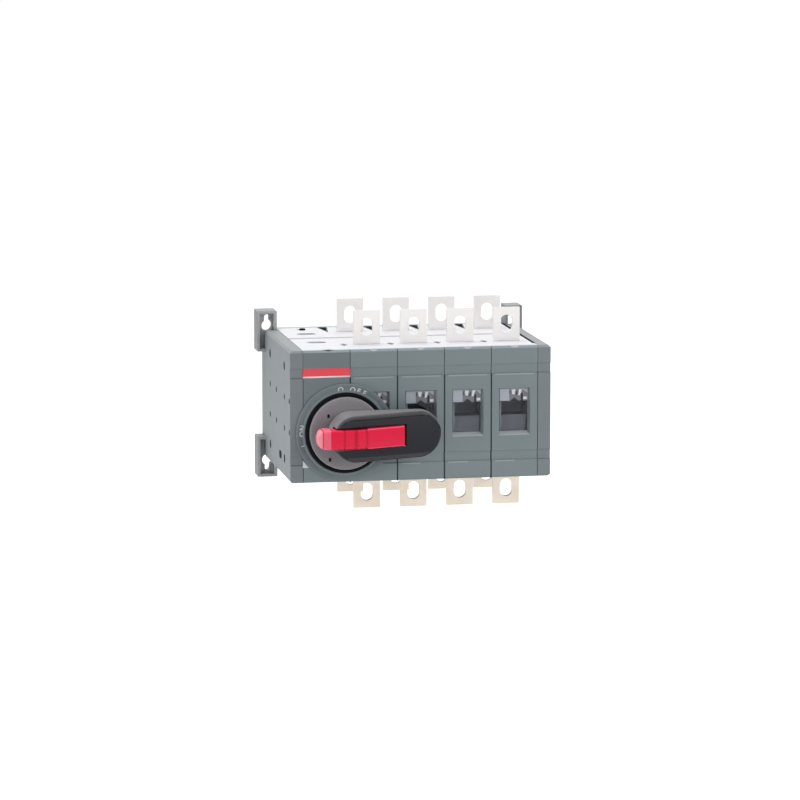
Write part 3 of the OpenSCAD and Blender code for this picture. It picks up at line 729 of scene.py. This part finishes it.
def makeLegend(number):  # its outlines are in shares of the label's width and height
    labelLow, labelHigh, _ = edges("position_labels")
    paneLow, paneHigh, mid = edges("window_pane_" + number)
    half = (paneHigh.x - paneLow.x) / 2
    wide, tall, split = 2 * half, labelHigh.z - labelLow.z, legend["split"]
    corner = Matrix.Translation((mid.x - half, labelLow.y, labelLow.z))
    upright = corner @ Matrix.Rotation(pi / 2, 4, "X")

    def shape(part, finish, outlines, layer):
        bm = bmesh.new()
        for outline in outlines:
            outline = [(x * wide, z * tall) for x, z in outline]
            prism(bm, outline, layer * legend["thick"], legend["thick"], upright)
        flatPiece("legend_" + part + "_" + number, bm, finish)

    shape("field", "labelMid", [[(split, 0.02), (0.99, 0.02), (0.99, 0.62), (0.80, 0.95), (split, 0.95)]], 0)
    shape("marks", "printWhite", [
        [(0.44, 0.55), (0.52, 0.50), (0.56, 0.94), (0.42, 0.94)],
        [(0.66, 0.42), (0.72, 0.46), (0.80, 0.94), (0.68, 0.94)],
        rectangle(0.84, 0.97, 0.10, 0.32)], 1)
    shape("contacts", "printDark", [
        [(0.36, 0.0), (0.66, 0.0), (0.58, 0.16), (0.51, 0.26), (0.45, 0.16)],
        [(0.75, 0.0), (0.83, 0.0), (0.83, 0.60), (0.78, 0.66), (0.75, 0.42)],
        [(0.575, 0.45), (0.62, 0.50), (0.63, 0.80), (0.585, 0.74)],
        rectangle(split, split + legend["dot"], 0.55, 0.86)], 1)


softPiece("position_labels", ["labelPale"], 0.12 * mm)
for number in poleNumbers:
    makeDrum(number)
    makePaneTrim(number)
    makeLegend(number)
print("windows fitted")


# Dial: the positions in white round the ring, a blank label under its edge, and a pale line on the strip
dialLow, dialHigh, _ = edges("dial_plate")
ringHigh = edges("dial_ring")[1]
dial = {"positions": {"O OFF": 80, "I ON": 184, "II ON": -2},  # degrees round the dial
        "textRadius": 32.3 * mm, "textHeight": 3.7 * mm, "spread": 8.0, "thick": 0.06 * mm, "lift": 0.12 * mm,
        "capShare": 0.7, "bold": 0.035, "rimInset": 0.6 * mm, "footOutset": 2 * mm, "footHeight": 0.8 * mm,
        "slopeFrom": 33 * mm, "slopeRun": 2 * mm}
facePlane = Matrix.Translation((turnAxis.x, 0, turnAxis.z)) @ Matrix.Rotation(pi / 2, 4, "X")


def dishHeight(radius):  # how far the dial's sloping band stands out of the front at a radius
    rim, start = dialHigh.x - turnAxis.x - dial["rimInset"], ringHigh.x - turnAxis.x + dial["footOutset"]
    share = min(max((radius - start) / (rim - start), 0), 1)
    return dial["footHeight"] + share * ((frontY - dialLow.y) - dial["footHeight"])


dishRise = dishHeight(dial["slopeFrom"] + dial["slopeRun"]) - dishHeight(dial["slopeFrom"])
dishSlope = atan2(dishRise, dial["slopeRun"])


def letterMesh(letter, height):
    curve = bpy.data.curves.new("letter", "FONT")
    curve.body = letter
    curve.size = height / dial["capShare"]
    curve.align_x = "CENTER"
    curve.offset = height * dial["bold"]
    curve.extrude = dial["thick"]
    text = addObject("letter", curve)
    mesh = evaluatedMesh(text)
    bpy.data.objects.remove(text)
    return mesh


def makeDialText():
    bm = bmesh.new()
    radius = dial["textRadius"] - dial["textHeight"] / 2
    lift = -frontY + dishHeight(radius) + dial["lift"]
    for words, centre in dial["positions"].items():
        for k, letter in enumerate(words):
            if letter == " ":
                continue
            angle = radians(centre + ((len(words) - 1) / 2 - k) * dial["spread"])
            mesh = letterMesh(letter, dial["textHeight"])
            mesh.transform(facePlane @ Matrix.Rotation(angle - pi / 2, 4, "Z")
                           @ Matrix.Translation((0, radius, lift)) @ Matrix.Rotation(dishSlope, 4, "X"))
            bm.from_mesh(mesh)
            bpy.data.meshes.remove(mesh)
    place("dial_positions", toMesh(bm, "dial_positions", False), ["printWhite"])


blankLabel = {"sides": (0.865, 0.735, 0.55, 0.70), "lift": 0.02 * mm, "thick": 0.08 * mm}


def makeBlankLabel():  # its corner shows under the dial. Its sides are in shares of the dial's radius
    reach = (dialHigh.x - dialLow.x) / 2
    left, right, top, bottom = [-reach * share for share in blankLabel["sides"]]
    bm = bmesh.new()
    prism(bm, [(left, top), (left, bottom), (right, bottom)], -frontY + blankLabel["lift"],
          blankLabel["thick"], facePlane)
    flatPiece("blank_label", bm, "printWhite")


stripLine = {"from": 0.1 * mm, "to": 1.3 * mm, "proud": 0.1 * mm, "soft": 0.05 * mm}


def makeStripLine():
    low, high, _ = edges("coloured_strip")
    softBar("strip_line", (low.x, low.y - stripLine["proud"], low.z + stripLine["from"]),
            (high.x, low.y + stripLine["proud"], low.z + stripLine["to"]), stripLine["soft"], "printWhite")


makeDialText()
makeBlankLabel()
makeStripLine()
print("dial and labels made")


# Covers: painted shadows where gaps open at their corners and along the joints between modules
seams = {"lensAt": 28.5 * mm, "lensLong": 13 * mm, "lensWide": 6 * mm, "core": (6.4 * mm, 22 * mm),
         "wing": (8 * mm, 29 * mm), "thick": 0.05 * mm, "strip": 1.6 * mm, "joint": 4.5 * mm,
         "edgeWide": 2.2 * mm, "edgeFrom": 12 * mm, "edgeTo": 126 * mm, "rim": 4 * mm}
# joint and shades are painted shade, the dark cores and the strip by the end cover painted shadow, rim a
# painted shading along the front rim
seamLooks = {"strips": ("coverWhite", "cover_white"), "joint": ("coverShade", "cover_white"),
             "rim": ("housingWall", "cover_white"), "shades": ("seamShade", "ring_black"),
             "openings": ("seamDark", "ring_black")}  # finish and slot


def makeSeamShadows(side):  # side is 1 on the top and -1 at the bottom. A shape's last number is its layer
    frontCover, rearCover = edges("top_covers_front"), edges("top_covers_rear")
    near, far, back = frontCover[0].y, frontCover[0].y + seams["rim"], rearCover[1].y
    middleY, half = (frontCover[1].y + rearCover[0].y) / 2, seams["joint"] / 2
    shapes = {part: [] for part in seamLooks}
    for low, _, _ in poles:
        x, w = side * low.x, seams["strip"] / 2
        for start, stop in ((far, middleY - half), (middleY + half, back)):
            shapes["strips"].append((rectangle(x - w, x + w, start, stop), 0))
        for part, key, layer in (("shades", "wing", 1), ("openings", "core", 2)):
            wide, tall = seams[key]
            shapes[part].append(([(x - wide / 2, back), (x, back - tall), (x + wide / 2, back)], layer))
        y, reach, w = frontY + seams["lensAt"], seams["lensLong"] / 2, seams["lensWide"] / 2
        shapes["joint"].append(([(x, y - reach), (x + w, y), (x, y + reach), (x - w, y)], 1))
        shapes["shades"].append(([(x, y - reach), (x + w / 2, y - reach / 3), (x, y + reach / 2),
                                  (x - w / 2, y - reach / 3)], 2))
    ends = sorted((side * edges("mechanism_front")[0].x, side * poles[-1][1].x))
    shapes["joint"].append((rectangle(*ends, middleY - half, middleY + half), 0))
    shapes["rim"].append((rectangle(*ends, near, far), 0))
    inner, w = side * (edges("end_cover_right")[0].x - seams["edgeWide"] / 4), seams["edgeWide"] / 2
    shapes["openings"].append(
        (rectangle(inner - w, inner + w, frontY + seams["edgeFrom"], frontY + seams["edgeTo"]), 0))
    turn = Matrix.Identity(4) if side > 0 else Matrix.Rotation(pi, 4, "Y")
    for part, (finish, slotName) in seamLooks.items():
        bm = bmesh.new()
        for outline, layer in shapes[part]:
            prism(bm, outline, topZ + layer * seams["thick"], seams["thick"], turn)
        flatPiece("seam_" + part + ("_top" if side > 0 else "_bottom"), bm, finish)


holeShade = {"radius": 2.3 * mm, "tall": 1.5 * mm, "soft": 0.3 * mm, "fromLeft": 18.1 * mm, "fromFront": 45.5 * mm}


def makeHoleShade():  # a dark plug as painted shade in the rear cover's round hole
    radius, tall, soft = holeShade["radius"], holeShade["tall"], holeShade["soft"]
    at = (edges("mechanism_rear")[0].x + holeShade["fromLeft"], edges("top_covers_rear")[0].y + holeShade["fromFront"],
          topZ - soft)
    bm = bmesh.new()
    turned(bm, [(0, 0), (radius, 0), (radius, tall - soft), (radius - soft, tall), (0, tall)], 32)
    bmesh.ops.translate(bm, verts=bm.verts, vec=at)
    crispPiece("cover_plug", bm, 50, ["gapDark"])


rimMark = {"fromRight": 16 * mm, "reach": 5 * mm, "fromFront": (0.9 * mm, 2.4 * mm, 4.4 * mm)}


def makeRimMark():  # a dark mark of painted shade on the rim in front of the mechanism's cover
    x, reach = edges("mechanism_front")[1].x - rimMark["fromRight"], rimMark["reach"]
    near, middle, far = [frontY + y for y in rimMark["fromFront"]]
    bm = bmesh.new()
    prism(bm, [(x - reach, middle), (x, near), (x + reach, middle), (x, far)], topZ, seams["thick"])
    flatPiece("rim_mark", bm, "gapDark")


makeSeamShadows(1)
makeSeamShadows(-1)
makeHoleShade()
makeRimMark()
print("covers marked")


# Front: painted shadows in the joints between the modules, and painted highlights on the lower edges of the
# two grooves
joints = {"wide": 1.1 * mm, "proud": 0.05 * mm, "worn": 1.1 * mm, "inset": 3 * mm, "lowShare": 0.5}


def makeFrontJoints():
    stripLow, stripHigh, _ = edges("coloured_strip")
    half, proud, inset = joints["wide"] / 2, joints["proud"], joints["inset"]
    # dark holds the strips of painted shadow, pale the painted highlights
    dark, pale = bmesh.new(), bmesh.new()
    for low, high, _ in poles:
        x = low.x
        upperFrom = dialHigh.z if x == poles[0][0].x else -stripLow.z  # the dial covers part of the first
        for start, stop, y in ((low.z, -stripHigh.z, frontY), (-stripHigh.z, -stripLow.z, stripHigh.y),
                               (upperFrom, stripLow.z, frontY)):
            box(dark, (x - half, y - proud, start), (x + half, y - hair, stop))
        for z, share in ((stripLow.z, 1), (-stripHigh.z, joints["lowShare"])):
            start = x + inset
            stop = start + share * (high.x - x - 2 * inset)
            box(pale, (start, frontY - proud, z - joints["worn"]), (stop, frontY - hair, z))
    flatPiece("front_joints", dark, "jointDark")
    flatPiece("worn_edges", pale, "housingLit")


makeFrontJoints()


# Hub: a shallow dish, grey as painted reflection on the black hub, with two small marks of painted shade
hub = {"dish": 1.1 * mm, "bevel": 0.8 * mm, "steps": 96, "markWide": 1.7 * mm, "markTall": 2.6 * mm,
       "markDepth": 0.15 * mm, "marks": ((134.7, 18.6 * mm), (237.5, 22.5 * mm))}  # angle and radius


def makeHub():
    low, high, _ = edges("handle_hub")
    radius = (high.x - low.x) / 2
    back, face = frontY - high.y, frontY - low.y
    bevel, dish = hub["bevel"], hub["dish"]
    rim = radius - bevel
    rounding = [radians(15 * k) for k in range(7)]
    outline = [(0, back), (radius, back)]
    outline += [(rim + bevel * cos(a), face - bevel + bevel * sin(a)) for a in rounding]
    outline += [(rim * s, face - dish * (1 - s * s)) for s in (0.9, 0.75, 0.6, 0.4, 0.2, 0)]  # the dish
    bm = bmesh.new()
    turned(bm, outline, hub["steps"])
    bmesh.ops.transform(bm, verts=bm.verts, matrix=facePlane @ Matrix.Translation((0, 0, -frontY)))
    crispPiece("hub_dish", bm, 50, ["hubGrey"], ["handle_hub"], "handle")
    marks = bmesh.new()
    w, h = hub["markWide"] / 2, hub["markTall"] / 2
    for degrees, reach in hub["marks"]:
        s, a = reach / rim, radians(degrees)
        at = facePlane @ Matrix.Translation((reach * cos(a), reach * sin(a), 0))
        prism(marks, rectangle(-w, w, -h, h), -frontY + face - dish * (1 - s * s), hub["markDepth"], at)
    flatPiece("hub_marks", marks, "gapDark", "handle")


makeHub()


# Grip: a body with well rounded front edges, cut to the node's own channel
grip = {"round": 3.2 * mm, "lowRound": 0.8 * mm, "steps": 8, "corners": 48, "inset": 0.02 * mm,
        "past": 1 * mm, "fallFrom": 4 * mm, "fall": tan(radians(19)), "bloomLean": 0.25}


def gripFall(x):  # how far the front of the grip and the lever has fallen back at a place along them
    return max(x - turnAxis.x - grip["fallFrom"], 0) * grip["fall"]


def makeGrip():
    low, high, mid = edges("handle_grip")
    half = (high.z - low.z) / 2 - grip["inset"]
    nearX, farX = low.x + half + grip["inset"], high.x - half - grip["inset"]
    turns = grip["corners"] // 2
    spots = [(farX, a) for a in range(turns + 1)] + [(nearX, a) for a in range(turns, 2 * turns + 1)]
    bm = bmesh.new()
    rings = []
    for k in range(grip["steps"] + 1):
        roll = pi / 2 * k / grip["steps"]
        ring = []
        for centreX, a in spots:
            turn = tau * a / grip["corners"] - pi / 2
            upward = (1 + sin(turn)) / 2
            radius = grip["lowRound"] + (grip["round"] - grip["lowRound"]) * upward
            reach = half - radius * (1 - cos(roll))
            x = centreX + reach * cos(turn)
            y = low.y + gripFall(x) + radius * (1 - sin(roll))
            ring.append(bm.verts.new((x, y, mid.z + reach * sin(turn))))
        rings.append(ring)
    back = [bm.verts.new((v.co.x, high.y + grip["past"], v.co.z)) for v in rings[0]]
    for first, second in zip([back] + rings, rings):
        joinRings(bm, first, second)
    last = rings[-1]
    for i in range(len(last) // 2 - 1):
        bm.faces.new((last[i], last[i + 1], last[-2 - i], last[-1 - i]))
    bm.faces.new(back)
    bmesh.ops.recalc_face_normals(bm, faces=bm.faces)
    rounded = addObject("roundedBody", toMesh(bm, "roundedBody"))
    made = place("grip_soft", toMesh(cleanCopy("handle_grip"), "grip_soft"), ["handleBlack"],
                 ["handle_grip"], "handle")
    carve(made, "INTERSECT", rounded)
    sharpened(made.data, 24)
    made.data.materials.append(finishes["handleBloom"])
    for face in made.data.polygons:
        face.material_index = 1 if face.normal.z > grip["bloomLean"] else 0


makeGrip()


# Lever: lofted from a drooping thumb end, along its grooves, to the flat block
lever = {"corner": 1.5 * mm, "thumbCorner": 1.2, "arc": 4, "stations": 110, "thick": 10.5 * mm,
         "waist": 0.5 * mm, "droop": 7.5 * mm, "thumb": 10 * mm, "endPower": 2.6, "undercut": 3 * mm,
         "dip": 4.5 * mm, "dipFrom": 15.5 * mm, "dipRun": 2 * mm, "blockFrom": 11.4 * mm,
         "blockRun": 0.4 * mm, "tip": 0.0001, "cornerShare": 0.95}
# a groove's faces take painted shade within dark of its half width
groove = {"deep": 0.8 * mm, "half": 1.7 * mm, "every": 8.2 * mm, "count": 3, "toBlock": 1.1 * mm, "dark": 0.6}
worn = {"to": 9.5 * mm, "bandFrom": 3.4 * mm, "bandTo": 4.3 * mm}  # painted highlight along the rounded thumb end, with a band left red


def makeLever():
    low, high, mid = edges("padlock_lever")
    fullHalf = (high.z - low.z) / 2
    half = fullHalf - lever["waist"]
    level = frontY - low.y
    thick = edges("handle_grip")[0].y - low.y + lever["thick"]
    blockX = turnAxis.x + lever["blockFrom"]

    def grooveGaps(x):  # the distance to each groove's middle, where 1 is at its edge
        first = blockX - groove["toBlock"]
        return [abs(x - first + n * groove["every"]) / groove["half"] for n in range(groove["count"])]

    def section(x):  # the lever's top, base, half width and corner radius at a place along it
        inThumb = max(0.0, 1 - (x - low.x) / lever["thumb"])
        top = level - gripFall(x) - lever["droop"] * (1 - sqrt(max(1 - inThumb ** 2, 0)))
        for gap in grooveGaps(x):
            if gap < 1:
                top -= groove["deep"] * (1 + cos(pi * gap)) / 2
        base = level - thick - gripFall(x)
        base -= lever["dip"] * min(max((turnAxis.x - lever["dipFrom"] - x) / lever["dipRun"], 0), 1)
        base += lever["undercut"] * max(0.0, 1 - (x - low.x) / lever["undercut"]) ** 2
        wide = half + (fullHalf - half) * min(max((x - blockX) / lever["blockRun"], 0), 1)
        roundEnd = max(0.0, 1 - (x - low.x) / half)
        wide *= max(1 - roundEnd ** lever["endPower"], lever["tip"]) ** (1 / lever["endPower"])
        corner = lever["corner"] * (1 + lever["thumbCorner"] * inThumb)
        return top, base, wide, min(corner, wide * lever["cornerShare"])

    def paintedLightIndex(x, i):  # 2 and 3 as painted highlights on the rounded thumb end, 3 as painted highlights on the block's rims, and 1 as painted shade in the grooves
        along = x - low.x
        if along < worn["to"] and not worn["bandFrom"] < along < worn["bandTo"]:
            return 2 if along < worn["bandFrom"] else 3
        if x > blockX and i in (lever["arc"] - 2, lever["arc"] + 2):
            return 3
        return 1 if min(grooveGaps(x)) < groove["dark"] else 0

    bm = bmesh.new()
    rings = []
    for k in range(lever["stations"] + 1):
        x = low.x + (high.x - low.x) * (1 - cos(pi * k / lever["stations"])) / 2
        top, base, wide, corner = section(x)
        ring = []
        for toSide, toTop, start in ((1, 1, 0), (-1, 1, 90), (-1, -1, 180), (1, -1, 270)):
            for j in range(lever["arc"] + 1):
                a = radians(start + 90 * j / lever["arc"])
                across = toSide * (wide - corner) + corner * cos(a)
                height = (top - corner if toTop > 0 else base + corner) + corner * sin(a)
                ring.append(bm.verts.new((x, frontY - height, mid.z + across)))
        rings.append(ring)
    for first, second in zip(rings, rings[1:]):
        for i, face in enumerate(joinRings(bm, first, second)):
            face.material_index = paintedLightIndex(face.calc_center_median().x, i)
    bm.faces.new(rings[0][::-1]).material_index = 2
    bm.faces.new(rings[-1])
    crispPiece("lever_soft", bm, 50, ["leverRed", "leverDeep", "leverRubbed", "leverPale"],
               ["padlock_lever"], "lever")


makeLever()
print("handle made")


# Floor, light and camera
studio = {"floorDrop": 0.10, "floorSize": 30, "floorShade": 0.46, "floorGlow": 0.86, "mirrorGlow": 0.60,
          "ambient": 0.36}
lamps = {  # place, what it points at, size and power
    "topLamp": ((-0.1, 0.3, 1.8), (0, frontY / 2, 0), 1.3, 38.0),
    "sideLamp": ((-0.60, -0.26, -0.06), (0, frontY / 2, 0), 0.16, 1.0),
    "frontLamp": ((0.40, -0.72, 0.20), (0.08, frontY, 0), 0.42, 1.7)}
camera = {"focal": 189.0, "sensor": 36.0, "reach": 200, "at": (-0.5674, -3.1219, 0.4656),
          "along": (0.1797, 0.9725, -0.1481)}


def paleRays(tree):  # 1 where a camera, a mirror or a pane looks at the surroundings
    path = tree.nodes.new("ShaderNodeLightPath")
    shiny = mathNode(tree, "MAXIMUM", path.outputs["Is Camera Ray"], path.outputs["Is Glossy Ray"])
    return mathNode(tree, "MAXIMUM", shiny, path.outputs["Is Transmission Ray"])


def makeFloor():
    bm = bmesh.new()
    bmesh.ops.create_grid(bm, x_segments=8, y_segments=8, size=studio["floorSize"])
    bmesh.ops.translate(bm, verts=bm.verts, vec=(0, 0, cadLow.z - studio["floorDrop"]))
    made = addObject("floor", toMesh(bm, "floor"))
    skin = bpy.data.materials.new("paleFloor")
    skin.use_nodes = True
    tree = skin.node_tree
    tree.nodes.remove(tree.nodes["Principled BSDF"])
    lit = tree.nodes.new("ShaderNodeBsdfDiffuse")
    lit.inputs["Color"].default_value = (*[studio["floorShade"]] * 3, 1)
    glow = tree.nodes.new("ShaderNodeEmission")
    glow.inputs["Color"].default_value = (1, 1, 1, 1)
    seen = mathNode(tree, "MULTIPLY", tree.nodes.new("ShaderNodeLightPath").outputs["Is Camera Ray"],
                    studio["floorGlow"] - studio["mirrorGlow"])
    mirrored = mathNode(tree, "MULTIPLY", paleRays(tree), studio["mirrorGlow"])
    strength = mathNode(tree, "ADD", seen, mirrored)
    both = tree.nodes.new("ShaderNodeAddShader")
    out = tree.nodes["Material Output"]
    wire(tree, (strength, glow.inputs["Strength"]), (lit.outputs[0], both.inputs[0]),
         (glow.outputs[0], both.inputs[1]), (both.outputs[0], out.inputs["Surface"]))
    made.data.materials.append(skin)
    made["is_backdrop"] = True


def makeWorld():
    world = bpy.data.worlds.new("paleRoom")
    bpy.context.scene.world = world
    world.use_nodes = True
    tree = world.node_tree
    tree.nodes.clear()
    out = tree.nodes.new("ShaderNodeOutputWorld")
    room = tree.nodes.new("ShaderNodeBackground")
    room.inputs["Color"].default_value = (1, 1, 1, 1)
    extra = mathNode(tree, "MULTIPLY", paleRays(tree), 1 - studio["ambient"])
    strength = mathNode(tree, "ADD", extra, studio["ambient"])
    wire(tree, (strength, room.inputs["Strength"]), (room.outputs[0], out.inputs["Surface"]))


def aimed(name, data, at, along):
    made = addObject(name, data)
    made.location = at
    made.rotation_euler = Vector(along).to_track_quat("-Z", "Y").to_euler()
    return made


def makeLamp(name, at, aim, size, power):
    light = bpy.data.lights.new(name, "AREA")
    light.shape = "SQUARE"
    light.size = size
    light.energy = power
    made = aimed(name, light, at, Vector(aim) - Vector(at))
    made.visible_glossy = False  # it lights the switch without showing in its covers, bars and handle


def makeCamera():
    view = bpy.data.cameras.new("view")
    view.lens = camera["focal"]
    view.sensor_width = camera["sensor"]
    view.clip_end = camera["reach"]
    bpy.context.scene.camera = aimed("view", view, camera["at"], camera["along"])


makeFloor()
makeWorld()
for name, settings in lamps.items():
    makeLamp(name, *settings)
makeCamera()
bpy.context.scene.view_settings.view_transform = "Standard"
print("floor, light and camera set")

low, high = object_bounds()
